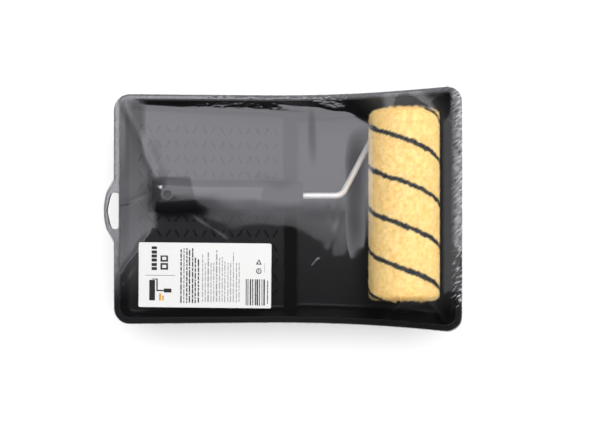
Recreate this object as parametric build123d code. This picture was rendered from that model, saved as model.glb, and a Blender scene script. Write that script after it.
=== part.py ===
from build123d import *
import itertools
import math
import os

# A shrink-wrapped paint roller set: a ribbed tray, a roller frame with its sleeve lying in it, and the film
# and label round them. Millimetres. +X runs from the hanging end to the paint well, +Z is up, and the
# origin is on the ground under the middle of the wrapped set.

# ---- tray: one thin moulding ----
RIM_Z = 60.0
RIM_LEFT = -159.5
RIM_RIGHT = 169.0
HALF_SHALLOW = 108.4
HALF_WAIST = 107.2
HALF_WELL = 117.0
WAIST_X = -15.0
CORNER_R = 15.0
FLANGE = 6.0
FLANGE_T = 2.0
LIP_T = 1.6
LIP_DROP = 8.0
WALL = 1.8
DRAFT = 4.5
FILLET_IN = 4.5
RAMP_TOP = (-143.9, 40.0)
RAMP_FOOT = (0.4, 18.0)
STEP_FOOT = (13.5, WALL)
BROW_R = 5.0
FOOT_R = 8.0

# ---- hanging tab in the rim ----
TAB_Y = -1.6
TAB_X = -169.0
TAB_SHOULDER = (-166.4, 17.0)
TAB_ROOT = (-157.5, 31.5)
TAB_HOLE_X = (-166.5, -163.7, -155.4)
TAB_HOLE_HALF = (12.5, 17.2)
TAB_COLLAR = 3.0

# ---- wringing ribs on the ramp ----
RIB_ROWS = 12
RIB_COLUMNS = 16
RIB_FIRST_X = -139.2
RIB_PITCH_X = 8.72
RIB_PITCH_Y = 14.63
RIB_LENGTH = 8.4
RIB_W = 1.9
RIB_H = 0.8
RIB_TAPER = 43.0
RIB_ANGLE = 60.0

# ---- legs under the shallow end ----
LEG_X = -128.0
LEG_Y = 66.0
LEG_SIZE = (12.0, 26.0)
LEG_WALL = 2.0

# ---- sleeve ----
AXLE_X = 116.5
AXLE_Z = 45.0
SLEEVE_Y = (-86.0, 94.0)
PILE_R = 34.5
CORE_R = 24.0
CORE_WALL = 1.8
PILE_END_R = 7.0
CAP_FACE = (-76.0, 84.0)
CAP_T = 2.6
CAP_RING_L = 13.0
CAP_RING_T = 2.0
HUB_R = 6.5
HUB_L = 12.0
SPOKE_HOLES = 6

# ---- wire frame ----
WIRE_R = 3.0
RUN_GAP = 0.08
FIT_GAP = 0.02
HANDLE_Y = 13.2
HANDLE_Z = 51.5
WIRE_START_X = -62.0
ARM_BEND_X = 56.0
LOW_BEND = (101.4, 97.0, 2.6)
AXLE_RISE_Y = 99.3
ARM_BEND_R = 11.0
LOW_BEND_R = 8.0
AXLE_BEND_R = 9.0
AXLE_END_Y = -82.0
WASHER_R = 7.0
WASHER_T = 1.2

# ---- handle ----
BUTT_X = -123.5
NOSE_X = 19.0
GRIP_SECTIONS = [
    (-123.5, 29.0, 23.0, 9.0),
    (-120.0, 32.0, 26.0, 10.0),
    (-90.0, 31.5, 26.6, 10.5),
    (-50.0, 30.0, 25.6, 10.5),
    (-15.0, 28.0, 23.0, 9.5),
    (10.0, 26.6, 20.6, 8.5),
    (19.0, 26.0, 19.6, 8.0),
]
HANG_X = -108.0
HANG_R = 4.0
BOSS_R = 6.3
BOSS_H = 0.9
GROOVE_X = (-51.5, -26.0)
INLAY_TIP_X = -20.0
INLAY_FULL_X = 4.0
INLAY_Z = 3.4

# ---- film and label ----
FILM_T = 0.35
FILM_GAP = 0.4
SKIRT_Z = 50.5
CROWN_Z = 80.4
CROWN_X = (105.0, 128.0)
CROWN_Y = (-80.0, 90.0)
BUTT_TOP = (-124.8, 66.9)
BUTT_HALF = 10.5
LABEL_CENTRE = (-73.4, -62.6)
LABEL_SIZE = (125.0, 61.0)
LABEL_TURN = -0.6
LABEL_T = 0.25


def block(x0, x1, y0, y1, z0, z1):
    """Box between two corners."""
    return Pos((x0 + x1) / 2, (y0 + y1) / 2, (z0 + z1) / 2) * Box(x1 - x0, y1 - y0, z1 - z0)


def face_of(edges):
    """Flat face bounded by a closed run of edges."""
    return make_face(Wire(edges))


def tube_y(outer, inner, y0, y1):
    """Tube round the axle's line."""
    shell = Cylinder(outer, y1 - y0)
    if inner > 0:
        shell -= Cylinder(inner, y1 - y0 + 2)
    return Pos(AXLE_X, (y0 + y1) / 2, AXLE_Z) * Rot(90, 0, 0) * shell


def long_side(sign):
    """One long side of the rim: straight, then bowing out towards the well."""
    shallow = (RIM_LEFT, sign * HALF_SHALLOW)
    waist = (WAIST_X, sign * HALF_WAIST)
    well = (RIM_RIGHT, sign * HALF_WELL)
    line = Line(shallow, waist)
    bow = TangentArc(waist, well, tangent=line % 1)
    return [line, bow]


def rim_outline():
    """Outer edge of the rim, seen from above, without the tab."""
    top = long_side(1)
    bottom = long_side(-1)
    left = Line((RIM_LEFT, -HALF_SHALLOW), (RIM_LEFT, HALF_SHALLOW))
    right = Line((RIM_RIGHT, -HALF_WELL), (RIM_RIGHT, HALF_WELL))
    face = Sketch() + face_of(top + bottom + [left, right])
    corners = [v for v in face.vertices() if abs(v.X - WAIST_X) > 20]
    return fillet(corners, CORNER_R)


def tab_outline():
    """Rounded ear that carries the hanging hole."""
    sx, sy = TAB_SHOULDER
    rx, ry = TAB_ROOT
    apex = ThreePointArc((sx, sy), (TAB_X, 0), (sx, -sy))
    rest = Polyline((sx, -sy), (rx, -ry), (rx + 6, -ry), (rx + 6, ry), (rx, ry), (sx, sy))
    face = Sketch() + face_of([apex] + rest.edges())
    shoulders = [v for v in face.vertices() if abs(v.X - sx) < 0.1]
    return Pos(0, TAB_Y) * fillet(shoulders, 9)


def tab_hole():
    """The hanging hole: straight beside the wall, pointed on its outer side."""
    tip, side, wall = TAB_HOLE_X
    inner, outer = TAB_HOLE_HALF
    points = [(wall, outer), (side + 2, outer), (side, inner), (tip, 0), (side, -inner)]
    points += [(side + 2, -outer), (wall, -outer)]
    face = Sketch() + Polygon(*points, align=None)
    round_ones = [v for v in face.vertices() if abs(abs(v.Y) - outer) < 0.1]
    face = fillet(round_ones, 2.2)
    tip_ones = [v for v in face.vertices() if abs(v.X - tip) < 0.1]
    return Pos(0, TAB_Y) * fillet(tip_ones, 6)


def full_outline():
    """Rim outline with the tab."""
    return rim_outline() + tab_outline()


def pan_space(drop):
    """Everything above the ramp, step and floor, or above their undersides for drop > 0."""
    ax, az = RAMP_TOP
    bx, bz = RAMP_FOOT
    cx, cz = STEP_FOOT
    far = 230.0
    rise = (az - bz) / (bx - ax) * (far + ax)
    brow = (bx - 0.45 * drop, bz - drop)
    foot = (cx - 0.45 * drop, cz - drop)
    corners = [(-far, az + rise - drop), brow, foot, (far, cz - drop), (far, 120), (-far, 120)]
    side = Polygon(*corners, align=None)
    side = fillet([v for v in side.vertices() if abs(v.X - brow[0]) < 0.01], BROW_R + drop)
    side = fillet([v for v in side.vertices() if abs(v.X - foot[0]) < 0.01], FOOT_R)
    return extrude(Plane.XZ * side, 200, both=True)


def is_foot_edge(edge):
    """True for an edge where the pan's walls meet its ramp, step or floor."""
    middle = edge.center()
    along = edge % 0.5
    crosses = abs(along.Y) > 0.99 and -140 < middle.X < 150
    return middle.Z < RIM_Z - 3 and abs(along.Z) < 0.95 and not crosses


def pan_solid(grow, drop, radius):
    """The pan's hollow (grow 0) or its outside (grow = wall), with its foot edges rounded."""
    outline = offset(rim_outline(), grow - FLANGE)
    body = extrude(Pos(0, 0, RIM_Z) * outline, -RIM_Z - 4, taper=DRAFT) & pan_space(drop)
    return fillet([e for e in body.edges() if is_foot_edge(e)], radius)


def rim_ring():
    """Flat flange, turned-down lip and tab, as one ring."""
    outline = full_outline()
    plate = extrude(Pos(0, 0, RIM_Z - FLANGE_T) * outline, FLANGE_T)
    lip = extrude(Pos(0, 0, RIM_Z - LIP_DROP) * outline, LIP_DROP)
    lip -= extrude(Pos(0, 0, RIM_Z - LIP_DROP - 1) * offset(outline, -LIP_T), LIP_DROP + 1 - FLANGE_T / 2)
    return plate + lip


def hole_wall():
    """Short collar round the hanging hole, which stiffens its edge."""
    outer = offset(tab_hole(), LIP_T)
    collar = extrude(Pos(0, 0, RIM_Z - TAB_COLLAR) * outer, TAB_COLLAR)
    return collar & extrude(Pos(0, 0, RIM_Z - TAB_COLLAR) * full_outline(), TAB_COLLAR)


def leg(sign):
    """One channel-shaped leg under the shallow end of the ramp."""
    sx, sy = LEG_SIZE
    y = sign * LEG_Y
    shell = block(LEG_X - sx / 2, LEG_X + sx / 2, y - sy / 2, y + sy / 2, 0, 45)
    pocket_x = LEG_X - sx / 2 + LEG_WALL
    shell -= block(pocket_x, LEG_X + sx, y - sy / 2 + LEG_WALL, y + sy / 2 - LEG_WALL, -1, 46)
    return shell - pan_space(WALL / 2)


def rib_field():
    """Short slanting ribs in a zigzag, standing on the ramp."""
    ax, az = RAMP_TOP
    bx, bz = RAMP_FOOT
    slope = math.atan2(az - bz, bx - ax)
    down_ramp = (math.cos(slope), 0, -math.sin(slope))
    out_of_ramp = (math.sin(slope), 0, math.cos(slope))
    ramp = Plane((ax, 0, az), x_dir=down_ramp, z_dir=out_of_ramp)
    foot = 0.3
    flank = math.tan(math.radians(RIB_TAPER))
    rib = extrude(SlotOverall(RIB_LENGTH, RIB_W + 2 * foot * flank), RIB_H + foot, taper=RIB_TAPER)
    ribs = []
    for row in range(RIB_ROWS):
        y = (row - (RIB_ROWS - 1) / 2) * RIB_PITCH_Y
        for column in range(RIB_COLUMNS):
            x = (RIB_FIRST_X + column * RIB_PITCH_X - ax) / math.cos(slope)
            turn = RIB_ANGLE if (row + column) % 2 else -RIB_ANGLE
            ribs.append(ramp * Pos(x, y, -foot) * Rot(0, 0, turn) * rib)
    return ribs


def tray():
    """The whole tray."""
    body = pan_solid(WALL, WALL, FILLET_IN + WALL) & block(-200, 200, -150, 150, -1, RIM_Z)
    body += rim_ring()
    body += hole_wall()
    for sign in (-1, 1):
        body += leg(sign)
    body -= pan_solid(0, 0, FILLET_IN)
    body -= extrude(tab_hole(), 80)
    body += rib_field()
    top = [e for e in body.edges() if abs(e.center().Z - RIM_Z) < 0.01 and e.length > 2]
    return fillet(top, 0.9)


def grip_shape():
    """Outside of the handle: a soft-cornered bar that thins towards the nose."""
    rings = []
    for x, wide, high, r in GRIP_SECTIONS:
        plane = Plane((x, HANDLE_Y, HANDLE_Z), x_dir=(0, 1, 0), z_dir=(1, 0, 0))
        rings.append(plane * RectangleRounded(wide, high, r))
    return loft(rings)


def inlay_cutter(grow=0.0):
    """Spade-shaped prism over the nose that the soft inlay fills."""
    half = 18.0
    tip = INLAY_TIP_X - grow
    shape = Pos(INLAY_FULL_X, 0) * Ellipse(INLAY_FULL_X - tip, 14.4 + grow)
    shape += Pos(INLAY_FULL_X + 20, 0) * Rectangle(40, 2 * half)
    shape += Pos(INLAY_FULL_X + 5, 0) * Rectangle(10, 2 * half)
    return extrude(Pos(0, HANDLE_Y, HANDLE_Z + INLAY_Z) * shape, 30)


def wire_bore(gap):
    """Bore for the wire, from the nose back into the grip."""
    length = NOSE_X + 5 - WIRE_START_X
    middle = (NOSE_X + 5 + WIRE_START_X) / 2
    return Pos(middle, HANDLE_Y, HANDLE_Z) * Rot(0, 90, 0) * Cylinder(WIRE_R + gap, length)


def handle_body():
    """Hard moulded grip with its hanging hole, two parting grooves and the seat of the inlay."""
    body = grip_shape()
    top = HANDLE_Z + 14.4 + BOSS_H
    boss = Pos(HANG_X, HANDLE_Y, (top + HANDLE_Z) / 2) * Cylinder(BOSS_R, top - HANDLE_Z)
    body += boss
    body -= Pos(HANG_X, HANDLE_Y, HANDLE_Z) * Cylinder(HANG_R, 60)
    for x in GROOVE_X:
        ring = block(x - 0.4, x + 0.4, HANDLE_Y - 20, HANDLE_Y + 20, HANDLE_Z - 20, HANDLE_Z + 20)
        section = Plane((x - 1, HANDLE_Y, HANDLE_Z), x_dir=(0, 1, 0), z_dir=(1, 0, 0))
        core = section * RectangleRounded(27.0, 22.6, 9.0)
        body -= ring - extrude(core, 2)
    body -= inlay_cutter()
    return body - wire_bore(FIT_GAP)


def handle_inlay():
    """Soft inlay that forms the top of the nose."""
    return grip_shape() & inlay_cutter()


def wire_frame():
    """Round wire from the grip, down under the sleeve, up outside its end and along its axis."""
    points = [
        (WIRE_START_X + 0.5, HANDLE_Y, HANDLE_Z),
        (ARM_BEND_X, HANDLE_Y, HANDLE_Z),
        LOW_BEND,
        (AXLE_X, AXLE_RISE_Y, AXLE_Z),
        (AXLE_X, AXLE_END_Y, AXLE_Z),
    ]
    path = FilletPolyline(*points, radius=(ARM_BEND_R, LOW_BEND_R, AXLE_BEND_R))
    start = Plane(points[0], x_dir=(0, 1, 0), z_dir=(1, 0, 0))
    return sweep(start * Circle(WIRE_R), path=path, transition=Transition.RIGHT)


def stop_collar():
    """Ring crimped on the axle behind the sleeve."""
    return tube_y(WIRE_R + 1.6, WIRE_R + FIT_GAP, CAP_FACE[1] + 1.6, CAP_FACE[1] + 6.0)


def washer(y0):
    """Flat ring on the axle."""
    return tube_y(WASHER_R, WIRE_R + 0.15, y0, y0 + WASHER_T)


def push_cap():
    """Domed cap pressed on the end of the axle."""
    outer = CAP_FACE[0] - 1.6
    body = tube_y(5.6, 0, AXLE_END_Y - 1.6, outer)
    far = body.faces().sort_by(Axis.Y)[0]
    body = fillet(far.edges(), 1.4)
    return body - tube_y(WIRE_R + FIT_GAP, 0, AXLE_END_Y - FIT_GAP, outer + 1)


def sleeve_core():
    """Stiff tube of the sleeve."""
    return tube_y(CORE_R, CORE_R - CORE_WALL, *SLEEVE_Y)


def sleeve_pile():
    """Thick fabric cover, rounded at its ends."""
    body = tube_y(PILE_R, 0, *SLEEVE_Y)
    ends = [e for e in body.edges() if e.geom_type == GeomType.CIRCLE]
    body = fillet(ends, PILE_END_R)
    return body - tube_y(CORE_R + FIT_GAP, 0, SLEEVE_Y[0] - 1, SLEEVE_Y[1] + 1)


def end_cap(face_y, inward):
    """Plug in the end of the core: a web with a bearing hub and a ring that grips the tube."""
    reach = sorted((face_y, face_y + inward * CAP_T))
    ring = sorted((face_y, face_y + inward * CAP_RING_L))
    hub = sorted((face_y, face_y + inward * HUB_L))
    outer = CORE_R - CORE_WALL - FIT_GAP
    body = tube_y(outer, 0, *reach)
    body += tube_y(outer, outer - CAP_RING_T, *ring)
    body += tube_y(HUB_R, 0, *hub)
    for k in range(SPOKE_HOLES):
        angle = 2 * math.pi * k / SPOKE_HOLES
        spot = Pos(AXLE_X + 13.4 * math.cos(angle), face_y, AXLE_Z + 13.4 * math.sin(angle))
        body -= spot * Rot(90, 0, 0) * Cylinder(3.6, 3 * CAP_T)
    return body - tube_y(WIRE_R + RUN_GAP, 0, hub[0] - 1, hub[1] + 1)


def hull_facets(points):
    """Flat facets of the convex hull of a few points, each as an ordered ring."""
    found = {}
    for a, b, c in itertools.combinations(points, 3):
        normal = (b - a).cross(c - a)
        if normal.length < 1e-6:
            continue
        normal = normal.normalized()
        sides = [normal.dot(p - a) for p in points]
        if max(sides) > 1e-5 and min(sides) < -1e-5:
            continue
        if max(sides) > 1e-5:
            normal = normal * -1
        key = (round(normal.X, 4), round(normal.Y, 4), round(normal.Z, 4), round(normal.dot(a), 2))
        found[key] = (normal, [p for p, s in zip(points, sides) if abs(s) <= 1e-5])
    return [in_order(normal, ring) for normal, ring in found.values()]


def in_order(normal, ring):
    """The ring's points, sorted round their middle."""
    middle = sum(ring, Vector(0, 0, 0)) * (1 / len(ring))
    u = (ring[0] - middle).normalized()
    v = normal.cross(u)
    return sorted(ring, key=lambda p: math.atan2((p - middle).dot(v), (p - middle).dot(u)))


def tent_points(inset):
    """Corner points of the stretched film: rim corners, butt of the handle and crown of the sleeve."""
    edge = FILM_GAP + FILM_T - inset
    points = []
    for z in (20.0, RIM_Z + 0.9 - inset):
        for sign in (-1, 1):
            points.append(Vector(TAB_X - edge, sign * (HALF_SHALLOW + 1.0 + edge), z))
            points.append(Vector(RIM_RIGHT + edge, sign * (HALF_WELL + edge), z))
    for x, y in itertools.product(CROWN_X, CROWN_Y):
        points.append(Vector(x, y, CROWN_Z - inset))
    for sign in (-1, 1):
        points.append(Vector(BUTT_TOP[0], HANDLE_Y + sign * BUTT_HALF, BUTT_TOP[1] - inset))
    return points


def tent(inset, foot):
    """Solid under the stretched film, as wide as the rim with its clearance."""
    faces = [Face(Wire.make_polygon(ring)) for ring in hull_facets(tent_points(inset))]
    body = Solid(Shell(faces))
    outline = offset(full_outline(), FILM_GAP + FILM_T - inset)
    return body & extrude(Pos(0, 0, foot) * outline, 60)


def shrink_film():
    """Film over the whole set, with a short skirt down the rim and a hole over the hanging hole."""
    body = tent(0.0, SKIRT_Z) - tent(FILM_T, SKIRT_Z - 2)
    return body - extrude(offset(tab_hole(), -0.2), 100)


def label_plane():
    """Plane of the film's facet between the butt, the shallow corner and the sleeve's crown."""
    edge = FILM_GAP + FILM_T
    a = Vector(BUTT_TOP[0], HANDLE_Y - BUTT_HALF, BUTT_TOP[1])
    b = Vector(TAB_X - edge, -(HALF_SHALLOW + 1.0 + edge), RIM_Z + 0.9)
    c = Vector(CROWN_X[0], CROWN_Y[0], CROWN_Z)
    normal = (b - a).cross(c - a).normalized()
    if normal.Z < 0:
        normal = normal * -1
    x, y = LABEL_CENTRE
    z = a.Z - (normal.X * (x - a.X) + normal.Y * (y - a.Y)) / normal.Z
    return Plane((x, y, z), x_dir=(normal.Z, 0, -normal.X), z_dir=normal)


def label():
    """Paper label on the film."""
    return extrude(label_plane() * Rot(0, 0, LABEL_TURN) * RectangleRounded(*LABEL_SIZE, 1.5), LABEL_T)


NODES = {
    "tray": tray,
    "handle_body": handle_body,
    "handle_inlay": handle_inlay,
    "wire_frame": wire_frame,
    "stop_collar": stop_collar,
    "stop_washer": lambda: washer(CAP_FACE[1] + 0.3),
    "end_washer": lambda: washer(CAP_FACE[0] - 0.3 - WASHER_T),
    "push_cap": push_cap,
    "sleeve_core": sleeve_core,
    "sleeve_pile": sleeve_pile,
    "cap_near": lambda: end_cap(CAP_FACE[1], -1),
    "cap_far": lambda: end_cap(CAP_FACE[0], 1),
    "shrink_film": shrink_film,
    "label": label,
}

os.makedirs("parts", exist_ok=True)
for name, build in NODES.items():
    export_step(build(), f"parts/{name}.step")
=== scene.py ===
import math

import bmesh
import bpy
import numpy as np
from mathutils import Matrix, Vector


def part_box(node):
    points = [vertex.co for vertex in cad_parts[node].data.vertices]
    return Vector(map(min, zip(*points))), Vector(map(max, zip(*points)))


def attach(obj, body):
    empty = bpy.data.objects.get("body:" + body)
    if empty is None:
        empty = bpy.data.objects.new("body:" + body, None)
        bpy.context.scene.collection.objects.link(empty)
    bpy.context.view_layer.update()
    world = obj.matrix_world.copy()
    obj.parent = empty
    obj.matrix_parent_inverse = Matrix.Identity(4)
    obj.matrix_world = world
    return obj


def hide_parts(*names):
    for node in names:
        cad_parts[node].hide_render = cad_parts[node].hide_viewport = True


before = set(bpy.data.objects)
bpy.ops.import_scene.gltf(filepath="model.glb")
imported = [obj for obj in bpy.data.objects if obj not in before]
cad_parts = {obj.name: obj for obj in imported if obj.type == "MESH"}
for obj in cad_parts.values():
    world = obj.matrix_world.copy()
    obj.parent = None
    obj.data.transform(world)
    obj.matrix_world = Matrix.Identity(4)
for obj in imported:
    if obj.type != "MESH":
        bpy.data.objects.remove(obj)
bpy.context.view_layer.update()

MM = 0.001
SEED = 7

# Sizes shared with the CAD, in millimetres.
RIM_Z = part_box("tray")[1].z / MM
WAIST_X, HALF_SHALLOW, HALF_WAIST, HALF_WELL = -15.0, 108.4, 107.2, 117.0
RIM_LEFT, RIM_RIGHT, RIM_LAND, CORNER_R = -159.5, 169.0, 6.0, 15.0
TAB_Y, TAB_REACH, TAB_SHOULDER, TAB_BOW = -1.6, 9.5, 7.2, 2.4
TAB_FLAT_HALF, TAB_HALF = 17.0, 29.5
TAB_HOLE_HALF, TAB_HOLE_EDGE = 17.2, -155.4
TAB_HOLE_SIDE = ([0, 12.5, 15.5, 17.2], [-166.5, -163.7, -162.3, -158.5])
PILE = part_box("sleeve_pile")
AXLE_X = (PILE[0].x + PILE[1].x) / 2 / MM
AXLE_Z = (PILE[0].z + PILE[1].z) / 2 / MM
PILE_R = (PILE[1].x - PILE[0].x) / 2 / MM
PILE_Y = (PILE[0].y / MM, PILE[1].y / MM)
PILE_END_R, CORE_R, PILE_THROUGH = 7.0, 24.0, 0.35
STRIPE_PITCH, STRIPE_WIDTH, STRIPE_START = 80.0, 4.7, 21.5
HANDLE_Y, HANDLE_Z = 13.2, 51.5
GRIP_X = np.array([-123.5, -120.0, -90.0, -50.0, -15.0, 10.0, 19.0])
GRIP_WIDE = np.array([29.0, 32.0, 31.5, 30.0, 28.0, 26.6, 26.0])
GRIP_HIGH = np.array([23.0, 26.0, 28.8, 25.6, 23.0, 20.6, 19.6])
BOSS_X, BOSS_R, BOSS_TOP = -108.0, 6.3, 66.8
FILM_GAP, FILM_REST = 0.45, 0.12
SKIRT_Z, ROLL_R, FILM_OVER_RIM = 50.9, 2.2, 0.6
LABEL_CENTRE, LABEL_SIZE, LABEL_TURN = (-73.4, -62.6), (125.0, 61.0), -0.6
LABEL_CELL, LABEL_CORNER, LABEL_LIFT = 0.42, 1.5, 0.16


# ---------- small numeric helpers ----------

def smooth(a, b, t):
    """Smooth step of t from a to b."""
    t = np.clip((t - a) / (b - a), 0.0, 1.0)
    return t * t * (3 - 2 * t)


def lattice(x, y, seed):
    """Gradient noise over the plane, about -0.7 to 0.7."""
    rng = np.random.default_rng(seed)
    perm = rng.permutation(256)
    turn = rng.uniform(0, 2 * np.pi, 256)
    x, y = np.asarray(x, float), np.asarray(y, float)
    xi, yi = np.floor(x).astype(int), np.floor(y).astype(int)
    xf, yf = x - xi, y - yi

    def corner(i, j):
        k = perm[(perm[(xi + i) & 255] + yi + j) & 255]
        return np.cos(turn[k]) * (xf - i) + np.sin(turn[k]) * (yf - j)

    u = xf ** 3 * (xf * (xf * 6 - 15) + 10)
    v = yf ** 3 * (yf * (yf * 6 - 15) + 10)
    low = corner(0, 0) * (1 - u) + corner(1, 0) * u
    high = corner(0, 1) * (1 - u) + corner(1, 1) * u
    return low * (1 - v) + high * v


def link_object(name, data):
    """New object of the scene that holds this data."""
    obj = bpy.data.objects.new(name, data)
    bpy.context.scene.collection.objects.link(obj)
    return obj


def mesh_object(name, verts, faces):
    """New smooth object from vertices in millimetres."""
    mesh = bpy.data.meshes.new(name)
    points = (np.asarray(verts, float) * MM).tolist()
    mesh.from_pydata([tuple(v) for v in points], [], [tuple(f) for f in faces])
    mesh.validate()
    mesh.update()
    mesh.polygons.foreach_set("use_smooth", [True] * len(mesh.polygons))
    return link_object(name, mesh)


def grid_quads(index):
    """Four-cornered faces between the points of a grid, as an array."""
    return np.stack([index[:-1, :-1], index[1:, :-1], index[1:, 1:], index[:-1, 1:]], -1)


def store(obj, name, values):
    """Keeps one value per vertex on the mesh, for its material to read."""
    layer = obj.data.attributes.new(name, "FLOAT", "POINT")
    layer.data.foreach_set("value", values.astype(np.float32))


# ---------- materials ----------

def set_stops(color_ramp, stops):
    """Gives a new colour ramp these (position, colour) stops, lowest first."""
    full = [(pos, (*col, 1.0) if len(col) == 3 else col) for pos, col in stops]
    e = color_ramp.elements
    e[0].position, e[0].color = full[0]
    e[1].position, e[1].color = full[-1]
    for pos, col in full[1:-1]:
        e.new(pos).color = col


class Nodes:
    """Thin helper over the node tree of a material, lamp or world."""

    def __init__(self, owner, output="OutputMaterial"):
        owner.use_nodes = True
        self.tree = owner.node_tree
        self.tree.nodes.clear()
        self.out = self.new(output)

    def new(self, kind, **values):
        node = self.tree.nodes.new("ShaderNode" + kind)
        for key, value in values.items():
            if hasattr(node, key):
                setattr(node, key, value)
            else:
                node.inputs[key.replace("_", " ")].default_value = value
        return node

    def link(self, a, b):
        self.tree.links.new(a, b)
        return b

    def fill(self, socket, value):
        """Gives a socket a number, a colour or a link."""
        if isinstance(value, (int, float)):
            socket.default_value = value
        elif isinstance(value, tuple):
            socket.default_value = (*value, 1.0)
        else:
            self.link(value, socket)

    def math(self, op, *values):
        node = self.new("Math", operation=op)
        for socket, value in zip(node.inputs, values):
            self.fill(socket, value)
        return node.outputs[0]

    def attribute(self, name):
        return self.new("Attribute", attribute_name=name).outputs["Fac"]

    def object_coords(self):
        return self.new("TexCoord").outputs["Object"]

    def noise(self, scale, detail, rough=0.5, stretch=None):
        node = self.new("TexNoise", Scale=scale, Detail=detail, Roughness=rough)
        vector = self.object_coords()
        if stretch:
            mapping = self.new("Mapping")
            mapping.inputs["Scale"].default_value = stretch
            self.link(vector, mapping.inputs["Vector"])
            vector = mapping.outputs[0]
        self.link(vector, node.inputs["Vector"])
        return node.outputs[0]

    def ramp(self, value, stops):
        node = self.new("ValToRGB")
        set_stops(node.color_ramp, stops)
        self.link(value, node.inputs[0])
        return node.outputs[0]

    def mix_color(self, factor, a, b, blend="MIX"):
        node = self.new("Mix", data_type="RGBA", blend_type=blend)
        for socket, value in ((node.inputs[0], factor), (node.inputs[6], a), (node.inputs[7], b)):
            self.fill(socket, value)
        return node.outputs[2]

    def bump(self, height, strength, distance):
        node = self.new("Bump", Strength=strength, Distance=distance)
        self.link(height, node.inputs["Height"])
        return node.outputs[0]

    def mix_shader(self, factor, a, b):
        node = self.new("MixShader")
        for socket, value in zip(node.inputs, (factor, a, b)):
            self.fill(socket, value)
        return node.outputs[0]

    def add_shader(self, a, b):
        node = self.new("AddShader")
        for socket, value in zip(node.inputs, (a, b)):
            self.fill(socket, value)
        return node.outputs[0]

    def principled(self, **values):
        node = self.new("BsdfPrincipled")
        for key, value in values.items():
            self.fill(node.inputs[key.replace("_", " ")], value)
        self.link(node.outputs[0], self.out.inputs[0])
        return node


def new_material(name):
    """A material and the helper over its nodes."""
    mat = bpy.data.materials.new(name)
    return mat, Nodes(mat)


def moulded_plastic(name, colour, rough, speck=0.25, grain=900.0, shine=0.5, ior=1.5):
    """Moulded plastic with fine grain and slow changes of gloss."""
    mat, n = new_material(name)
    fine = n.noise(grain, 2.0)
    slow = n.noise(28.0, 4.0, 0.6)
    dull, light = tuple(c * 0.8 for c in colour), tuple(min(1, c * 1.25) for c in colour)
    n.principled(
        Base_Color=n.mix_color(slow, dull, light),
        Roughness=n.math("MULTIPLY_ADD", slow, 0.16, rough - 0.08),
        Specular_IOR_Level=shine,
        IOR=ior,
        Normal=n.bump(fine, speck, 0.00006),
    )
    return mat


def bright_metal(name, colour, rough, metallic=1.0):
    """Plated metal with very fine drawing lines."""
    mat, n = new_material(name)
    lines = n.noise(700.0, 2.0, 0.5, stretch=(0.15, 1.0, 1.0))
    gloss = n.math("MULTIPLY_ADD", lines, 0.1, rough)
    normal = n.bump(lines, 0.08, 0.00005)
    n.principled(Base_Color=colour, Metallic=metallic, Roughness=gloss, Normal=normal)
    return mat


# The film's mirror share is FILM_EDGE times Fresnel plus FILM_FLOOR. It is lower where the film clings.
FILM_BLEND, FILM_EDGE, FILM_FLOOR, FILM_MOST = 0.22, 1.7, 0.125, 0.95
TOUCH_LOSS, TOUCH_ROUGH, TIGHT_LOSS, MILK_SHARE = 0.75, 0.5, 0.42, 0.4


def film_material():
    """Clear shrink film: see-through, with a thin sheet's double reflection and milky, gathered edges.

    The mesh's own values say where it clings to the plush ("touch") or the grip's end ("tight") and
    where it is milky ("haze").
    """
    mat, n = new_material("clear_film")
    clear = n.new("BsdfTransparent", Color=(0.985, 0.986, 0.99, 1.0))
    shine = n.new("BsdfGlossy", Color=(0.97, 0.97, 1.0, 1.0))
    smudge = n.noise(60.0, 3.0, 0.6)
    touch = n.attribute("touch")
    smear = n.math("MULTIPLY_ADD", touch, TOUCH_ROUGH, n.math("MULTIPLY_ADD", smudge, 0.05, 0.03))
    n.link(smear, shine.inputs["Roughness"])
    fresnel = n.new("LayerWeight", Blend=FILM_BLEND).outputs["Fresnel"]
    factor = n.math("MULTIPLY_ADD", fresnel, FILM_EDGE, FILM_FLOOR)
    factor = n.math("MULTIPLY", factor, n.math("MULTIPLY_ADD", touch, -TOUCH_LOSS, 1.0))
    factor = n.math("MULTIPLY", factor, n.math("MULTIPLY_ADD", n.attribute("tight"), -TIGHT_LOSS, 1.0))
    factor = n.math("MINIMUM", factor, FILM_MOST)
    plain = n.mix_shader(factor, clear.outputs[0], shine.outputs[0])
    milk = n.new("BsdfDiffuse", Color=(0.8, 0.8, 0.84, 1.0))
    hazy = n.math("MULTIPLY", n.attribute("haze"), MILK_SHARE)
    n.link(n.mix_shader(hazy, plain, milk.outputs[0]), n.out.inputs[0])
    return mat


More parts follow.
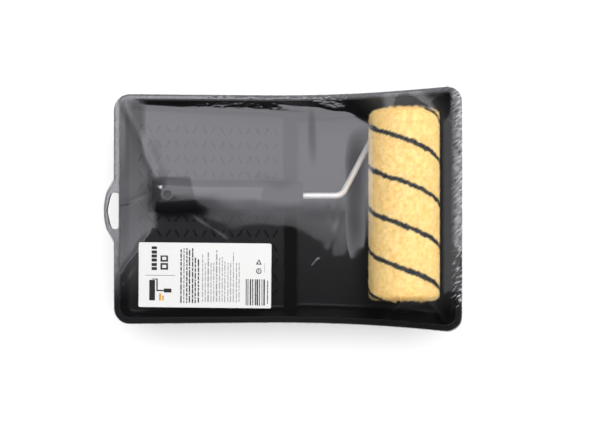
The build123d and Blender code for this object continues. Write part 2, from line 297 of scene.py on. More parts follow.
def pile_material():
    """Warm plush with painted shade towards the fibres' roots and between its tufts, and dark yarns where the
    mesh's "yarn" value says so.
    """
    mat, n = new_material("plush_pile")
    yarn, painted_plush_light = n.attribute("yarn"), n.attribute("painted_plush_light")
    warm = n.ramp(
        n.noise(120.0, 4.0, 0.65),
        [(0.28, (0.98, 0.77, 0.34)), (0.5, (1.0, 0.85, 0.44)), (0.75, (1.0, 0.91, 0.56))],
    )
    # Painted shade: the mesh's value, low at the fibres' roots and between the tufts, darkens the plush there.
    painted_plush_shade = n.ramp(painted_plush_light, [(0.0, (0.72, 0.60, 0.44)), (0.4, (0.93, 0.90, 0.84)), (1.0, (1.0, 1.0, 1.0))])
    warm = n.mix_color(1.0, warm, painted_plush_shade, "MULTIPLY")
    dark = n.ramp(n.noise(300.0, 2.0), [(0.3, (0.022, 0.024, 0.028)), (0.7, (0.075, 0.077, 0.085))])
    colour = n.mix_color(yarn, warm, dark)
    front, through = n.new("BsdfDiffuse"), n.new("BsdfTranslucent")
    n.link(colour, front.inputs[0])
    n.link(colour, through.inputs[0])
    body = n.mix_shader(PILE_THROUGH, front.outputs[0], through.outputs[0])
    sheen = n.new("BsdfSheen", Roughness=0.6)
    n.link(n.mix_color(yarn, (0.80, 0.64, 0.34), (0.01, 0.01, 0.012)), sheen.inputs["Color"])
    n.link(n.add_shader(body, sheen.outputs[0]), n.out.inputs[0])
    return mat


def paper_material(name, colour):
    """Coated paper or its print."""
    mat, n = new_material(name)
    fibre = n.noise(500.0, 4.0, 0.7)
    tone = n.mix_color(fibre, tuple(c * 0.96 for c in colour), colour)
    n.principled(Base_Color=tone, Roughness=0.45, Normal=n.bump(fibre, 0.1, 0.00003))
    return mat


def dress_cad():
    """Materials for the CAD nodes that are shown: colour, roughness, grain's depth and scale, shine, index."""
    tray = moulded_plastic("tray_black", (0.0045, 0.0045, 0.005), 0.32, 0.30, 700.0, 0.5, 1.52)
    gloss = moulded_plastic("handle_gloss", (0.006, 0.006, 0.007), 0.24, 0.08, 500.0, 0.9)
    matt = moulded_plastic("handle_matt", (0.009, 0.009, 0.01), 0.60, 0.6, 1100.0, 0.15)
    cap = moulded_plastic("cap_plastic", (0.02, 0.02, 0.022), 0.45)
    core = moulded_plastic("core_plastic", (0.55, 0.54, 0.52), 0.5)
    chrome = bright_metal("wire_chrome", (0.96, 0.95, 0.94), 0.28, 0.5)
    zinc = bright_metal("zinc", (0.62, 0.62, 0.64), 0.3)
    looks = {
        "tray": tray, "handle_body": gloss, "handle_inlay": matt, "wire_frame": chrome,
        "stop_collar": zinc, "stop_washer": zinc, "end_washer": zinc, "push_cap": cap,
        "cap_near": cap, "cap_far": cap, "sleeve_core": core,
    }
    for node, mat in looks.items():
        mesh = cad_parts[node].data
        mesh.materials.clear()
        mesh.materials.append(mat)


# ---------- the stretched film's shape ----------

def half_width(x):
    """Half the tray's width at x, without the corners' rounding."""
    straight = HALF_SHALLOW + (HALF_WAIST - HALF_SHALLOW) * (x - RIM_LEFT) / (WAIST_X - RIM_LEFT)
    slope = (HALF_WAIST - HALF_SHALLOW) / (WAIST_X - RIM_LEFT)
    t = x - WAIST_X
    bend = (HALF_WELL - HALF_WAIST - slope * (RIM_RIGHT - WAIST_X)) / (RIM_RIGHT - WAIST_X) ** 2
    return np.where(x < WAIST_X, straight, HALF_WAIST + slope * t + bend * t * t)


def edge_half(x, grow):
    """Half width of the outline moved out by grow, with rounded corners."""
    r = CORNER_R + grow
    near = np.minimum(x - (RIM_LEFT - grow), (RIM_RIGHT + grow) - x)
    cut = np.clip(r - near, 0.0, r)
    return half_width(x) + grow - (r - np.sqrt(np.maximum(r * r - cut * cut, 0.0)))


def tab_reach(y):
    """How far the hanging tab stands out of the rim at y."""
    d = np.abs(y - TAB_Y)
    slanted = np.interp(d, [0.0, TAB_FLAT_HALF, TAB_HALF], [TAB_REACH, TAB_SHOULDER, 0.0])
    rounded = TAB_REACH - TAB_BOW * (d / TAB_FLAT_HALF) ** 2
    return np.where(d < TAB_FLAT_HALF, rounded, slanted)


def obstacles(x, y):
    """Height of what the film lies on: the rim, the handle and the sleeve."""
    inside = edge_half(x, -RIM_LAND) - np.abs(y)
    on_rim = (inside < 0) | (x < RIM_LEFT + RIM_LAND) | (x > RIM_RIGHT - RIM_LAND)
    floor = np.where(on_rim, RIM_Z, 0.0)
    wide = np.interp(x, GRIP_X, GRIP_WIDE) / 2
    high = np.interp(x, GRIP_X, GRIP_HIGH) / 2
    across = np.clip(np.abs(y - HANDLE_Y) / wide, 0, 1)
    grip = HANDLE_Z + high * (1 - across ** 3) ** (1 / 3)
    grip = np.where((across < 1) & (x > GRIP_X[0]) & (x < GRIP_X[-1]), grip, 0.0)
    boss = np.where((x - BOSS_X) ** 2 + (y - HANDLE_Y) ** 2 < BOSS_R ** 2, BOSS_TOP, 0.0)
    dx = np.clip(np.abs(x - AXLE_X), 0, PILE_R)
    near_end = np.minimum(y - PILE_Y[0], PILE_Y[1] - y)
    t = np.clip(PILE_END_R - near_end, 0, PILE_END_R)
    r = PILE_R - (PILE_END_R - np.sqrt(PILE_END_R ** 2 - t * t))
    crown = AXLE_Z + np.sqrt(np.maximum(r * r - dx * dx, 0))
    roll = np.where((dx < r) & (near_end > 0), crown, 0.0)
    return np.maximum.reduce([floor, grip, boss, roll]) + FILM_GAP


def neighbour_sum(z):
    """Sum of each inner cell's four neighbours."""
    return z[:-2, 1:-1] + z[2:, 1:-1] + z[1:-1, :-2] + z[1:-1, 2:]


def relax(x, y, start, steps):
    """Stretches a sheet over the obstacles."""
    low = obstacles(x, y)
    beyond = (np.abs(y) > edge_half(x, -1.0)) | (x < RIM_LEFT + 1) | (x > RIM_RIGHT - 1)
    z = np.maximum(start, low)
    z[beyond] = RIM_Z + FILM_GAP
    for _ in range(steps):
        z[1:-1, 1:-1] = np.maximum(neighbour_sum(z) / 4, low[1:-1, 1:-1])
        z[beyond] = RIM_Z + FILM_GAP
    return z


# The sheet is relaxed over this half length and width, from coarse cells to fine ones, as (cell, rounds).
SHEET_HALF = (176.0, 128.0)
SHEET_START = 70.0
SHEET_PASSES = ((8.0, 600), (4.0, 500), (2.0, 500), (1.0, 260))
SHEET_SOFTEN = 3


class Sheet:
    """Height of the film over a regular grid, with smooth interpolation."""

    def __init__(self):
        z = None
        for step, rounds in SHEET_PASSES:
            xs, ys = (np.arange(-half, half + step / 2, step) for half in SHEET_HALF)
            x, y = np.meshgrid(xs, ys, indexing="ij")
            start = np.full(x.shape, SHEET_START) if z is None else self.sample(x, y)
            z = relax(x, y, start, rounds)
            self.xs, self.ys, self.z, self.step = xs, ys, z, step
        for _ in range(SHEET_SOFTEN):
            z[1:-1, 1:-1] = (z[1:-1, 1:-1] * 4 + neighbour_sum(z)) / 8

    def sample(self, x, y):
        """Catmull-Rom interpolation."""
        fx = np.clip((x - self.xs[0]) / self.step, 1, len(self.xs) - 3.001)
        fy = np.clip((y - self.ys[0]) / self.step, 1, len(self.ys) - 3.001)
        ix, iy = np.floor(fx).astype(int), np.floor(fy).astype(int)
        tx, ty = fx - ix, fy - iy

        def weights(t):
            return [
                (-t + 2 * t * t - t ** 3) / 2,
                (2 - 5 * t * t + 3 * t ** 3) / 2,
                (t + 4 * t * t - 3 * t ** 3) / 2,
                (-t * t + t ** 3) / 2,
            ]

        wx, wy = weights(tx), weights(ty)
        total = 0.0
        for i in range(4):
            for j in range(4):
                total = total + wx[i] * wy[j] * self.z[ix + i - 1, iy + j - 1]
        return total


# Creases as (start, end, width, height); they fade out over FOLD_TAPER of their length.
FOLD_TAPER, FOLD_WANDER = 0.15, 3.0
FOLDS = [
    ((-158, 4), (-124, 14), 2.2, 0.26),
    ((-156, -66), (-126, -24), 3.0, 0.5),
    ((-150, 100), (-120, 30), 4.0, 0.4),
    ((-86, -8), (-40, -40), 3.2, 0.12),
    ((27, -55), (34, -47), 1.4, 0.35),
    ((45, 60), (45, -40), 3.2, 0.25),
    ((55, 80), (52, -30), 2.6, 0.2),
    ((-5, 100), (60, 90), 2.4, 0.4),
    ((95, -100), (110, -86), 2.4, 0.5),
    ((150, -105), (132, -84), 2.6, 0.5),
    ((150, 108), (132, 92), 2.6, 0.5),
]
# The slack valley beside the sleeve, and how far the film domes over the ramp.
SAG_X, SAG_LEFT, SAG_RIGHT, SAG_DEPTH = 53.0, 24.0, 19.0, 5.0
PILLOW = 2.2
# Crinkle heights: along the far edge, slanting along the right one, along the near one, in the
# near right corner, and all round.
CRUSH_TOP, CRUSH_RIGHT, CRUSH_LOW, CRUSH_CORNER, CRUSH_ALL = 0.26, 0.22, 0.05, 0.16, 0.05


def fold(x, y, a, b, width, height):
    """A straight crease between two points."""
    ax, ay = a
    bx, by = b
    length = math.hypot(bx - ax, by - ay)
    ux, uy = (bx - ax) / length, (by - ay) / length
    s = (x - ax) * ux + (y - ay) * uy
    d = -(x - ax) * uy + (y - ay) * ux
    d = d + lattice(s / 23.0, d * 0 + ax, 31) * FOLD_WANDER
    fade = FOLD_TAPER * length
    ends = smooth(-fade, fade, s) * smooth(-fade, fade, length - s)
    return height * np.exp(-((d / width) ** 2)) * ends


def wrinkles(x, y):
    """Height of the film's waves, folds and crinkles, in millimetres."""
    slow = 0.30 * lattice(x / 58, y / 44, 11) + 0.16 * lattice(x / 24, y / 19, 12)
    far_gap, near_gap = edge_half(x, 0) - y, edge_half(x, 0) + y
    rim_gap = np.minimum(edge_half(x, 0) - np.abs(y), np.minimum(x - RIM_LEFT, RIM_RIGHT - x))
    top = smooth(16, 3, far_gap) * smooth(-90, -60, x) * smooth(80, 40, x)
    right = smooth(14, 2, RIM_RIGHT - x) * smooth(-118, -90, y)
    low = smooth(8, 1, near_gap)
    corner = smooth(26, 6, near_gap) * smooth(88, 105, x)
    crush = lattice(x / 3.1, y / 2.3, 13) + 0.6 * lattice(x / 1.7, y / 1.5, 14)
    slant = lattice((x - y * 0.45) / 9.0, (y + x * 0.45) / 2.3, 15)
    edge = CRUSH_TOP * top * crush + CRUSH_RIGHT * right * slant + CRUSH_LOW * low * crush
    edge = edge + CRUSH_CORNER * corner * crush + CRUSH_ALL * smooth(14, 2, rim_gap) * crush
    folds = 0.0
    for crease in FOLDS:
        folds = folds + fold(x, y, *crease)
    across = np.where(x < SAG_X, (x - SAG_X) / SAG_LEFT, (x - SAG_X) / SAG_RIGHT)
    sag = SAG_DEPTH * np.exp(-(across ** 2)) * smooth(-106, -6, y) * smooth(104, 40, y)
    reach = smooth(-150, -128, x) * smooth(34, 20, x)
    rise = 1 - np.exp(-np.maximum(far_gap - 4.0, 0) / 7.0)
    pillow = PILLOW * reach * rise * smooth(95, 30, far_gap)
    return (slow - sag + folds + pillow) * smooth(0.0, 3.0, rim_gap) + edge * smooth(-0.5, 0.8, rim_gap)


def film_height(sheet, x, y):
    """Final height of the film."""
    z = sheet.sample(x, y) + wrinkles(x, y)
    return np.maximum(z, obstacles(x, y) - FILM_GAP + FILM_REST)


def gathered(x, y, z):
    """How milky the film is, from 0 to 1. It shrinks thickest along the rim, in slanting strokes."""
    stroke = lattice((x + 0.7 * y) / 8.0, (y - 0.7 * x) / 1.9, 23)
    upper = smooth(-46, -22, y)
    lower = smooth(-98, -84, y) * (1 - upper)
    strokes = upper * (0.52 + 1.1 * stroke) + lower * 3.2 * np.maximum(stroke - 0.08, 0)
    right = smooth(13, 1, RIM_RIGHT - x) * strokes
    in_from_left = x - RIM_LEFT
    left = 0.30 * smooth(7, 2, in_from_left) * (1 + stroke) + 0.07 * smooth(34, 22, in_from_left)
    left = left * smooth(-90, -40, y)
    top = 0.22 * smooth(6, 2, edge_half(x, 0) - y) * (1 + stroke)
    milky = np.clip(np.maximum.reduce([right, left, top]), 0, 1)
    return milky * smooth(RIM_Z - 0.3, RIM_Z + 0.2, z)


def clinging(x, y, z):
    """Where the film clings to the plush, and where it is tight on the grip's end."""
    over = np.hypot(x - AXLE_X, z - AXLE_Z) - PILE_R
    along = np.minimum(y - PILE_Y[0], PILE_Y[1] - y)
    above = smooth(-1.0, 4.0, PILE_R - np.abs(x - AXLE_X))
    touch = np.maximum(smooth(3.2, 0.9, over), above) * smooth(0.0, 6.0, along)
    slant = x + 0.25 * (y - HANDLE_Y)
    tight = smooth(-127.5, -125.5, x) * smooth(-82, -84, slant)
    return touch, tight * smooth(17.2, 16.2, np.abs(y - HANDLE_Y))


def in_hole(x, y):
    """Above zero inside the hanging hole."""
    d = np.abs(y - TAB_Y)
    side = np.interp(d, *TAB_HOLE_SIDE)
    return np.minimum.reduce([TAB_HOLE_EDGE - x, x - side, TAB_HOLE_HALF - d])


# Cut of the film: its grid, crowding of the grid towards the rim, the angles of its roll over the
# rim, the steps of its skirt and the tray's band that follows the tab.
FILM_GRID, FILM_CROWD = (620, 400), (0.55, 0.45)
ROLL_ANGLES = (14, 28, 42, 56, 72, 90)
SKIRT_STEPS = (1.5, 3.2, 5.0)
TAB_BAND = 26


def crowded(count, crowd):
    """Steps from 0 to 1 that crowd towards both ends."""
    t = np.linspace(0, 1, count)
    return t - crowd * np.sin(2 * np.pi * t) / (2 * np.pi)


def outward(ring):
    """Smoothed outward directions round a closed ring, seen from above."""
    tangent = np.roll(ring, -1, 0) - np.roll(ring, 1, 0)
    out = np.stack([tangent[:, 1], -tangent[:, 0]], -1)
    out = out / np.linalg.norm(out, axis=1)[:, None]
    for _ in range(4):
        out = out + np.roll(out, 1, 0) + np.roll(out, -1, 0)
        out = out / np.linalg.norm(out, axis=1)[:, None]
    return out


def skirt(verts, loop):
    """Rings that roll the film over the rim and down, and the faces between them."""
    ring = verts[loop]
    out = outward(ring)
    arc = np.concatenate([[0], np.cumsum(np.linalg.norm(np.diff(ring[:, :2], axis=0), axis=1))])
    turns = np.radians(ROLL_ANGLES)
    steps = [(ROLL_R * math.sin(t), ROLL_R * (1 - math.cos(t))) for t in turns]
    steps += [(ROLL_R, ROLL_R + d) for d in SKIRT_STEPS]
    rings, faces = [], []
    previous = loop
    for k, (reach, down) in enumerate(steps + [(ROLL_R - 0.1, None)]):
        wave = lattice(arc / 3.4, arc * 0 + k * 0.3, 19) * 0.3 * min(k / 5, 1.0)
        point = ring.copy()
        point[:, :2] += out * (reach + wave)[:, None]
        if down is None:
            point[:, 2] = SKIRT_Z + 0.8 * lattice(arc / 11.0, arc * 0, 20)
        else:
            point[:, 2] = ring[:, 2] - down
        current = len(verts) + k * len(loop) + np.arange(len(loop))
        rings.append(point)
        faces += np.stack([previous, current, np.roll(current, -1), np.roll(previous, -1)], -1).tolist()
        previous = current
    return rings, faces


def build_film(sheet):
    """The film's mesh: a fine grid over the rim's outline, rolled over its edge into a short skirt."""
    nu, nv = FILM_GRID
    grow = FILM_OVER_RIM - ROLL_R
    left, right = RIM_LEFT - grow, RIM_RIGHT + grow
    column = left + crowded(nu, FILM_CROWD[0]) * (right - left)
    x = np.repeat(column[:, None], nv, 1)
    y = edge_half(column, grow)[:, None] * (2 * crowded(nv, FILM_CROWD[1]) - 1)[None, :]
    x = x - tab_reach(y) * smooth(TAB_BAND, 0, x - left)
    z = film_height(sheet, x, y)
    by_tab = (column[:, None] < left + TAB_BAND) & (x < RIM_LEFT + 5.5)
    z = np.where(by_tab, RIM_Z + FILM_GAP + 0.06 * lattice(x / 9, y / 9, 17), z)
    hole = in_hole(x, y)
    middle = (hole[:-1, :-1] + hole[1:, :-1] + hole[1:, 1:] + hole[:-1, 1:]) / 4
    index = np.arange(nu * nv).reshape(nu, nv)
    faces = grid_quads(index)[middle <= 0.0].reshape(-1, 4).tolist()
    loop = np.concatenate([index[:, 0], index[-1, 1:], index[-2::-1, -1], index[0, -2:0:-1]])
    verts = np.stack([x, y, z], -1).reshape(-1, 3)
    rings, more = skirt(verts, loop)
    film = mesh_object("film_sheet", np.concatenate([verts] + rings), faces + more)
    bm = bmesh.new()
    bm.from_mesh(film.data)
    bmesh.ops.delete(bm, geom=[w for w in bm.verts if not w.link_faces], context="VERTS")
    bmesh.ops.recalc_face_normals(bm, faces=bm.faces)
    bm.to_mesh(film.data)
    bm.free()
    film.data.polygons.foreach_set("use_smooth", [True] * len(film.data.polygons))
    spots = np.empty(len(film.data.vertices) * 3)
    film.data.vertices.foreach_get("co", spots)
    spots = (spots.reshape(-1, 3) / MM).T
    touch, tight = clinging(*spots)
    store(film, "tight", tight)
    store(film, "touch", touch)
    store(film, "haze", gathered(*spots))
    film.data.materials.append(film_material())
    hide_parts("shrink_film")
    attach(film, "wrap")


# ---------- label ----------

def on_label(u, v):
    """Point of the plane for a place on the label, measured from its middle."""
    a = math.radians(LABEL_TURN)
    x = LABEL_CENTRE[0] + u * math.cos(a) - v * math.sin(a)
    y = LABEL_CENTRE[1] + u * math.sin(a) + v * math.cos(a)
    return x, y


INK, PALE_INK, ACCENT = 1, 2, 3


def boxed(u, v, u0, u1, v0, v1):
    """True inside a rectangle of the label."""
    return (u > u0) & (u < u1) & (v > v0) & (v < v1)


def dashes(u, v, rng, u0, v0, v1, wide, gap):
    """One upright line of word-like dashes."""
    mask = np.zeros(u.shape, bool)
    at = v0 + rng.uniform(0, 1.0)
    while at < v1 - 1.0:
        end = min(at + rng.uniform(1.6, 7.0), v1)
        mask |= boxed(u, v, u0, u0 + wide, at, end)
        at = end + gap
    return mask


def print_masks(u, v):
    """Where each ink lies on the label: (mask, ink) pairs, later ones on top."""
    rng = np.random.default_rng(SEED + 1)
    jobs = []
    for k in range(7):
        jobs.append((dashes(u, v, rng, -23.0 + 2.7 * k, -26.5, 25.5 - (k > 4) * 9, 1.2, 0.8), INK))
    for k in range(14):
        stop = -4.0 if k == 13 else rng.uniform(4, 25)
        jobs.append((dashes(u, v, rng, -2.6 + 2.65 * k, -25.5, max(stop, 12.0), 0.9, 0.9), PALE_INK))
    # heading block: a row of bars, two open squares and a rule
    for k in range(6):
        jobs.append((boxed(u, v, -50.5, -45.2, 4.5 + 3.9 * k, 7.4 + 3.9 * k), INK))
    jobs.append((boxed(u, v, -42.0, -35.0, 5.0, 11.0) & ~boxed(u, v, -40.4, -36.6, 6.6, 9.4), INK))
    jobs.append((boxed(u, v, -42.0, -35.0, 12.5, 18.5) & ~boxed(u, v, -40.4, -36.6, 14.1, 16.9), INK))
    jobs.append((boxed(u, v, -56.0, -28.0, -0.6, -0.1), INK))
    # small roller pictogram over a painted stroke
    jobs.append((boxed(u, v, -52.5, -47.0, -24.0, -5.0), INK))
    jobs.append((boxed(u, v, -45.6, -44.4, -15.5, -3.6), INK))
    jobs.append((boxed(u, v, -49.8, -44.4, -4.6, -3.5), INK))
    jobs.append((boxed(u, v, -45.6, -38.0, -15.4, -14.2), INK))
    jobs.append((boxed(u, v, -38.5, -31.5, -16.6, -13.0), INK))
    jobs.append((boxed(u, v, -43.0, -41.2, -24.0, -17.5) | boxed(u, v, -40.4, -38.6, -24.0, -19.5), ACCENT))
    # disposal and care pictograms
    ring = np.hypot(u - 50.8, v - 4.6)
    jobs.append(((ring < 2.6) & (ring > 1.7), INK))
    jobs.append((boxed(u, v, 50.3, 51.3, 3.4, 5.8), INK))
    cone = (v > 10.6) & (v < 15.8) & (np.abs(u - 50.8) < (15.8 - v) * 0.55)
    hollow = (v > 11.5) & (np.abs(u - 50.8) < (14.1 - v) * 0.55)
    jobs.append((cone & ~hollow, INK))
    # upright stripes and their caption
    at = 38.5
    while at < 57.5:
        wide = rng.choice([0.45, 0.45, 0.9, 1.3])
        jobs.append((boxed(u, v, at, at + wide, -28.0, -3.0), INK))
        at += wide + rng.choice([0.5, 0.5, 0.95])
    jobs.append((dashes(u, v, rng, 58.6, -27.0, -4.0, 1.1, 0.5), INK))
    jobs.append((dashes(u, v, rng, 55.6, 3.0, 12.0, 0.8, 0.6), PALE_INK))
    return jobs


def build_label(sheet):
    """The label as a thin sheet that follows the film, printed with plain marks."""
    half_u, half_v = LABEL_SIZE[0] / 2, LABEL_SIZE[1] / 2
    nu, nv = (round(side / LABEL_CELL) + 1 for side in LABEL_SIZE)
    u, v = np.linspace(-half_u, half_u, nu), np.linspace(-half_v, half_v, nv)
    uu, vv = np.meshgrid(u, v, indexing="ij")
    middle_u = (uu[1:, 1:] + uu[:-1, :-1]) / 2
    middle_v = (vv[1:, 1:] + vv[:-1, :-1]) / 2
    ink = np.zeros(middle_u.shape, int)
    for mask, number in print_masks(middle_u, middle_v):
        ink[mask] = number
    # round the four corners
    cu = np.clip(uu, u[0] + LABEL_CORNER, u[-1] - LABEL_CORNER)
    cv = np.clip(vv, v[0] + LABEL_CORNER, v[-1] - LABEL_CORNER)
    far = np.maximum(np.hypot(uu - cu, vv - cv), 1e-9)
    pull = np.minimum(1.0, LABEL_CORNER / far)
    uu, vv = cu + (uu - cu) * pull, cv + (vv - cv) * pull
    x, y = on_label(uu, vv)
    # two opposite corners lift a little
    curl = 0.25 * smooth(5, 0, np.hypot(uu - u[-1], vv - v[-1]))
    curl = curl + 0.2 * smooth(6, 0, np.hypot(uu - u[0], vv - v[0]))
    z = film_height(sheet, x, y) + LABEL_LIFT + curl
    verts = np.stack([x, y, z], -1).reshape(-1, 3)
    index = np.arange(nu * nv).reshape(nu, nv)
    label = mesh_object("label_sheet", verts, grid_quads(index).reshape(-1, 4).tolist())
    for name, colour in (
        ("label_white", (0.57, 0.568, 0.562)),
        ("label_ink", (0.012, 0.012, 0.013)),
        ("label_pale_ink", (0.20, 0.20, 0.205)),
        ("label_accent", (0.52, 0.25, 0.02)),
    ):
        label.data.materials.append(paper_material(name, colour))
    label.data.polygons.foreach_set("material_index", ink.ravel())
    bm = bmesh.new()
    bm.from_mesh(label.data)
    bmesh.ops.dissolve_degenerate(bm, dist=0.00001, edges=bm.edges)
    bm.to_mesh(label.data)
    bm.free()
    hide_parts("label")
    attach(label, "wrap")


# ---------- sleeve ----------

PILE_END_STEPS, PILE_STEPS, PILE_AROUND = 9, 128, 260
# The lumpy base lies this far inside the plush's outer size, and its lumps are this high.
BASE_IN, BASE_LUMP, BASE_END_IN = 1.5, 0.5, 0.8


def pile_profile():
    """(y, radius) round the sleeve's section from one end of the core to the other."""
    y0, y1 = PILE_Y
    r = PILE_END_R
    turns = [k / (PILE_END_STEPS - 1) for k in range(PILE_END_STEPS)]
    points = [(y0, CORE_R + 0.1), (y0, CORE_R + 2.0)]
    for t in turns:
        a = t * math.pi / 2
        points.append((y0 + r - r * math.cos(a), PILE_R - r + r * math.sin(a)))
    for k in range(1, PILE_STEPS):
        points.append((y0 + r + (y1 - y0 - 2 * r) * k / PILE_STEPS, PILE_R))
    for t in turns:
        a = (1 - t) * math.pi / 2
        points.append((y1 - r + r * math.cos(a), PILE_R - r + r * math.sin(a)))
    points += [(y1, CORE_R + 2.0), (y1, CORE_R + 0.1)]
    return np.array(points)


def yarn_mask(y, angle, jitter):
    """One where a dark yarn shows, zero elsewhere, with ragged edges."""
    wander = 1.5 * lattice(y / 17.0, angle * 2.0, 51) + 1.3 * lattice(y / 6.0, angle * 6.0, 52)
    along = y + wander + STRIPE_PITCH * angle / (2 * np.pi) - STRIPE_START
    half = STRIPE_PITCH / 2
    off = np.abs((along + half / 2) % half - half / 2)
    width = STRIPE_WIDTH / 2 * (1 + 0.35 * lattice(y / 2.5, angle * 14.0, 53))
    return smooth(width + 0.35, width - 0.35, off + jitter)


def tufts(arc, y):
    """How the plush bunches, from about -1 between tufts to 1 on them."""
    return 0.9 * lattice(arc / 3.4, y / 3.4, 41) + 0.6 * lattice(arc / 7.5, y / 7.5, 42)


def build_pile():
    """Plush cover: a lumpy base and short fibres standing on it."""
    profile = pile_profile()
    angles = np.linspace(0, 2 * np.pi, PILE_AROUND, endpoint=False)
    yy = profile[:, 0][:, None] + 0 * angles[None, :]
    rr = profile[:, 1][:, None] + 0 * angles[None, :]
    aa = angles[None, :] + 0 * yy
    lump = tufts(np.abs(aa - np.pi) * PILE_R, yy)
    rr = np.where(rr > CORE_R + 1.0, rr - BASE_IN + BASE_LUMP * lump, rr)
    yy = PILE_Y[0] + BASE_END_IN + (yy - PILE_Y[0]) * (1 - 2 * BASE_END_IN / (PILE_Y[1] - PILE_Y[0]))
    verts = np.stack([AXLE_X + rr * np.sin(aa), yy, AXLE_Z + rr * np.cos(aa)], -1).reshape(-1, 3)
    index = np.arange(len(profile) * PILE_AROUND).reshape(len(profile), PILE_AROUND)
    nxt = np.roll(index, -1, 1)
    faces = np.stack([index[:-1], index[1:], nxt[1:], nxt[:-1]], -1).reshape(-1, 4).tolist()
    yarn = yarn_mask(yy, aa, 0.0).ravel()
    # Painted shade between the tufts: the base is darker where the plush bunches least.
    painted_plush_light = np.clip(0.25 + 0.3 * lump, 0, 1).ravel()
    hair_verts, hair_faces, hair_yarn, hair_painted_light = fibres(profile, len(verts))
    pile = mesh_object("plush", np.concatenate([verts, hair_verts]), faces + hair_faces)
    store(pile, "yarn", np.concatenate([yarn, hair_yarn]))
    store(pile, "painted_plush_light", np.concatenate([painted_plush_light, hair_painted_light]))
    pile.data.materials.append(pile_material())
    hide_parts("sleeve_pile")
    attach(pile, "sleeve")


# Fibres: how many in a quick and in a full render, how deep they root, their half width, their
# usual length and its range, how much longer they are on the sleeve's ends, and how far they lean.
FIBRES_QUICK, FIBRES_FULL = 40000, 150000
FIBRE_ROOT, FIBRE_HALF = 2.4, 0.17
FIBRE_LENGTH, FIBRE_SHORTEST, FIBRE_LONGEST, FIBRE_END_LONGER = 2.3, 1.1, 2.95, 2.4
FIBRE_LEAN, FIBRE_STRAY = 0.9, 0.30


def fibres(profile, first):
    """Short tapering fibres in loose tufts, each one thin triangle."""
    rng = np.random.default_rng(SEED)
    count = FIBRES_FULL
    steps = np.linalg.norm(np.diff(profile, axis=0), axis=1)
    weight = np.concatenate([[0], np.cumsum(steps * (profile[:-1, 1] + profile[1:, 1]))])
    pick = rng.uniform(0, weight[-1], count)
    k = np.clip(np.searchsorted(weight, pick) - 1, 0, len(steps) - 1)
    t = (pick - weight[k]) / (weight[k + 1] - weight[k])
    y = profile[k, 0] * (1 - t) + profile[k + 1, 0] * t
    r = profile[k, 1] * (1 - t) + profile[k + 1, 1] * t
    ny = -(profile[k + 1, 1] - profile[k, 1]) / steps[k]
    nr = (profile[k + 1, 0] - profile[k, 0]) / steps[k]
    a = rng.uniform(0, 2 * np.pi, count)
    arc = np.abs(a - np.pi) * PILE_R
    lump = tufts(arc, y)
    lean_a = FIBRE_LEAN * lattice(arc / 4.2, y / 4.2, 43) + rng.normal(0, FIBRE_STRAY, count)
    lean_y = FIBRE_LEAN * lattice(arc / 4.2, y / 4.2, 44) + rng.normal(0, FIBRE_STRAY, count)
    at_end = smooth(0.35, 0.95, np.abs(ny))
    length = FIBRE_LENGTH + 0.75 * lump + rng.normal(0, 0.22, count) + at_end * (1.9 + 1.5 * lump)
    length = np.clip(length, FIBRE_SHORTEST, FIBRE_LONGEST + FIBRE_END_LONGER * at_end)
    y0, r0 = y - ny * FIBRE_ROOT, r - nr * FIBRE_ROOT
    radial = np.stack([np.sin(a), 0 * a, np.cos(a)], -1)
    side = np.stack([np.cos(a), 0 * a, -np.sin(a)], -1)
    axis = np.array([0.0, 1.0, 0.0])
    normal = radial * nr[:, None] + axis * ny[:, None]
    over = radial * (-ny)[:, None] + axis * nr[:, None]
    way = normal + side * lean_a[:, None] + over * lean_y[:, None]
    way = way / np.linalg.norm(way, axis=1)[:, None]
    base = np.stack([AXLE_X + r0 * np.sin(a), y0, AXLE_Z + r0 * np.cos(a)], -1)
    end = base + way * length[:, None]
    turn = rng.uniform(0, 2 * np.pi, count)
    wide = (side * np.cos(turn)[:, None] + over * np.sin(turn)[:, None]) * FIBRE_HALF
    verts = np.stack([base - wide, base + wide, end], 1).reshape(-1, 3)
    ids = first + np.arange(count * 3).reshape(count, 3)
    yarn = np.repeat(yarn_mask(y, a, rng.normal(0, 0.25, count)), 3)
    # Painted shade: each fibre is darker at its root than at its tip and darker between tufts, with some
    # random tone from fibre to fibre.
    light = np.clip(0.45 + 0.35 * lump + rng.normal(0, 0.12, count), 0, 1)
    painted_plush_light = np.stack([light - 0.25, light - 0.25, light + 0.35], 1).ravel()
    return verts, ids.tolist(), yarn, np.clip(painted_plush_light, 0, 1)


# ---------- stage, light and camera ----------

# The floor's half size and height in metres, its grey, its glow near the object and per metre
# away from it, and how bright it is in reflections, where it is dimmed so that black stays black.
FLOOR_HALF, FLOOR_Z, FLOOR_GREY = 30.0, -0.0005, 0.45
FLOOR_GLOW, FLOOR_GLOW_RISE, FLOOR_MIRRORED = 0.42, 0.3, 0.35
# Overhead lamps as (left, right, near, far) in metres at one height, with brightness stops
# across and along.
LAMP_Z = 1.25
LAMP_TINT = (0.985, 0.975, 1.03, 1)
SOFT_RADIANCE = 1.3
SOFTBOX = (-0.50, 1.80, -0.035, 0.80)
SOFTBOX_ACROSS = [
    (-0.50, 0.75), (-0.44, 1.0), (0.40, 1.0), (0.60, 0.70), (1.00, 0.36), (1.80, 0.20),
]
SOFTBOX_ALONG = [
    (-0.035, 0.0), (-0.02, 0.29), (0.05, 0.41), (0.10, 0.76), (0.14, 1.0), (0.75, 1.0), (0.80, 0.0),
]
LEFT_PANEL = (-1.40, -0.50, -0.12, 0.90)
LEFT_ACROSS = [(-1.40, 0.05), (-0.95, 0.16), (-0.72, 0.34), (-0.50, 0.75)]
LEFT_ALONG = [(-0.12, 0.0), (-0.08, 1.0), (0.80, 1.0), (0.90, 0.0)]
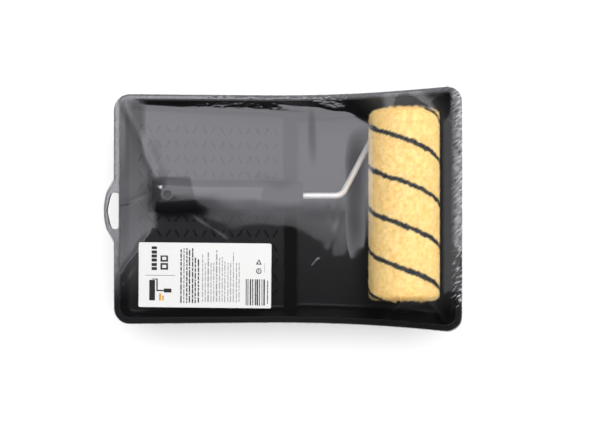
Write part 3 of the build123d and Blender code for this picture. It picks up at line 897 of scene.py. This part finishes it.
# Plain lamps as (place, target, size, radiance).
STRIP = ((1.9, 0.1, 0.95), (0, 0, 0.06), (1.4, 0.7), 0.29)
KEY = ((-0.95, 0.63, 1.25), (0, 0, 0), (0.2, 0.2), 8.0)
FILL = ((0.25, 0.35, 1.7), (0, 0, 0), (2.8, 2.2), 3.5)
# The room's grey by height of the direction, and how it falls off towards the near side.
ROOM = [(0.18, (0.95,) * 3), (0.36, (0.22,) * 3), (0.75, (0.03, 0.03, 0.032))]
ROOM_NEAR, ROOM_FAR, ROOM_LEAST = -0.8, -0.2, 0.12


def build_stage():
    """Pale floor that stays white under the object."""
    h, z = FLOOR_HALF, FLOOR_Z
    mesh = bpy.data.meshes.new("floor")
    mesh.from_pydata([(-h, -h, z), (h, -h, z), (h, h, z), (-h, h, z)], [], [(0, 1, 2, 3)])
    floor = link_object("floor", mesh)
    mat, n = new_material("floor_white")
    diffuse = n.new("BsdfDiffuse", Color=(FLOOR_GREY, FLOOR_GREY, FLOOR_GREY, 1.0))
    glow = n.new("Emission")
    reach = n.new("VectorMath", operation="LENGTH")
    n.link(n.object_coords(), reach.inputs[0])
    strength = n.math("MULTIPLY_ADD", reach.outputs["Value"], FLOOR_GLOW_RISE, FLOOR_GLOW)
    n.link(n.math("MINIMUM", strength, 1.0), glow.inputs["Strength"])
    lit = n.add_shader(diffuse.outputs[0], glow.outputs[0])
    mirrored = n.new("Emission", Strength=FLOOR_MIRRORED)
    in_mirror = n.new("LightPath").outputs["Is Glossy Ray"]
    n.link(n.mix_shader(in_mirror, lit, mirrored.outputs[0]), n.out.inputs[0])
    mesh.materials.append(mat)


def area_light(name, place, target, size, radiance):
    """Soft rectangular lamp of this radiance."""
    data = bpy.data.lights.new(name, "AREA")
    data.shape = "RECTANGLE"
    data.size, data.size_y = size
    data.energy = radiance * size[0] * size[1] * math.pi
    lamp = link_object(name, data)
    lamp.location = place
    way = Vector(target) - Vector(place)
    lamp.rotation_euler = way.to_track_quat("-Z", "Y").to_euler()
    return lamp


def overhead_lamp(name, span, across, along):
    """Lamp that faces down and whose brightness varies over its face, by stops along its sides."""
    x0, x1, y0, y1 = span
    middle = ((x0 + x1) / 2, (y0 + y1) / 2)
    lamp = area_light(name, (*middle, LAMP_Z), (*middle, 0.0), (x1 - x0, y1 - y0), SOFT_RADIANCE)
    lamp.rotation_euler = (0, 0, 0)
    n = Nodes(lamp.data, "OutputLight")
    glow = n.new("Emission", Color=LAMP_TINT)
    split = n.new("SeparateXYZ")
    n.link(n.new("NewGeometry").outputs["Parametric"], split.inputs[0])
    parts = []
    for side, stops in enumerate((across, along)):
        first, last = stops[0][0], stops[-1][0]
        scaled = [((at - first) / (last - first), (value,) * 3) for at, value in stops]
        parts.append(n.ramp(split.outputs[side], scaled))
    n.link(n.math("MULTIPLY", *parts), glow.inputs["Strength"])
    n.link(glow.outputs[0], n.out.inputs[0])


def build_room():
    """World that is white to the camera and a dim grey room to everything else."""
    world = bpy.data.worlds.new("studio")
    bpy.context.scene.world = world
    n = Nodes(world, "OutputWorld")
    split = n.new("SeparateXYZ")
    n.link(n.new("TexCoord").outputs["Generated"], split.inputs[0])
    front = n.new("MapRange", From_Min=ROOM_NEAR, From_Max=ROOM_FAR, To_Min=ROOM_LEAST)
    n.link(split.outputs[1], front.inputs["Value"])
    dim = n.new("VectorMath", operation="SCALE")
    n.link(n.ramp(split.outputs[2], ROOM), dim.inputs[0])
    n.link(front.outputs[0], dim.inputs["Scale"])
    seen = n.new("LightPath").outputs["Is Camera Ray"]
    back = n.new("Background")
    n.link(n.mix_color(seen, dim.outputs[0], (1.0, 1.0, 1.0)), back.inputs[0])
    n.link(back.outputs[0], n.out.inputs[0])


def build_light():
    """Overhead lamps over the far half, a low strip at the right, a small key and a broad fill."""
    overhead_lamp("softbox", SOFTBOX, SOFTBOX_ACROSS, SOFTBOX_ALONG)
    overhead_lamp("left_panel", LEFT_PANEL, LEFT_ACROSS, LEFT_ALONG)
    area_light("right_strip", *STRIP).visible_camera = False
    area_light("key", *KEY).visible_camera = False
    area_light("fill", *FILL).visible_glossy = False
    build_room()


def build_camera():
    """Straight above the set and close to it, with the small shift that its framing has."""
    data = bpy.data.cameras.new("camera")
    data.sensor_width = 36.0
    data.lens = 42.0
    data.shift_y = 0.079
    data.clip_start, data.clip_end = 0.01, 100.0
    cam = link_object("camera", data)
    cam.location = (0.0114, -0.0464, 0.710)
    bpy.context.scene.camera = cam
    bpy.context.scene.view_settings.view_transform = "Standard"


dress_cad()
film_shape = Sheet()
build_film(film_shape)
build_label(film_shape)
build_pile()
build_stage()
build_light()
build_camera()
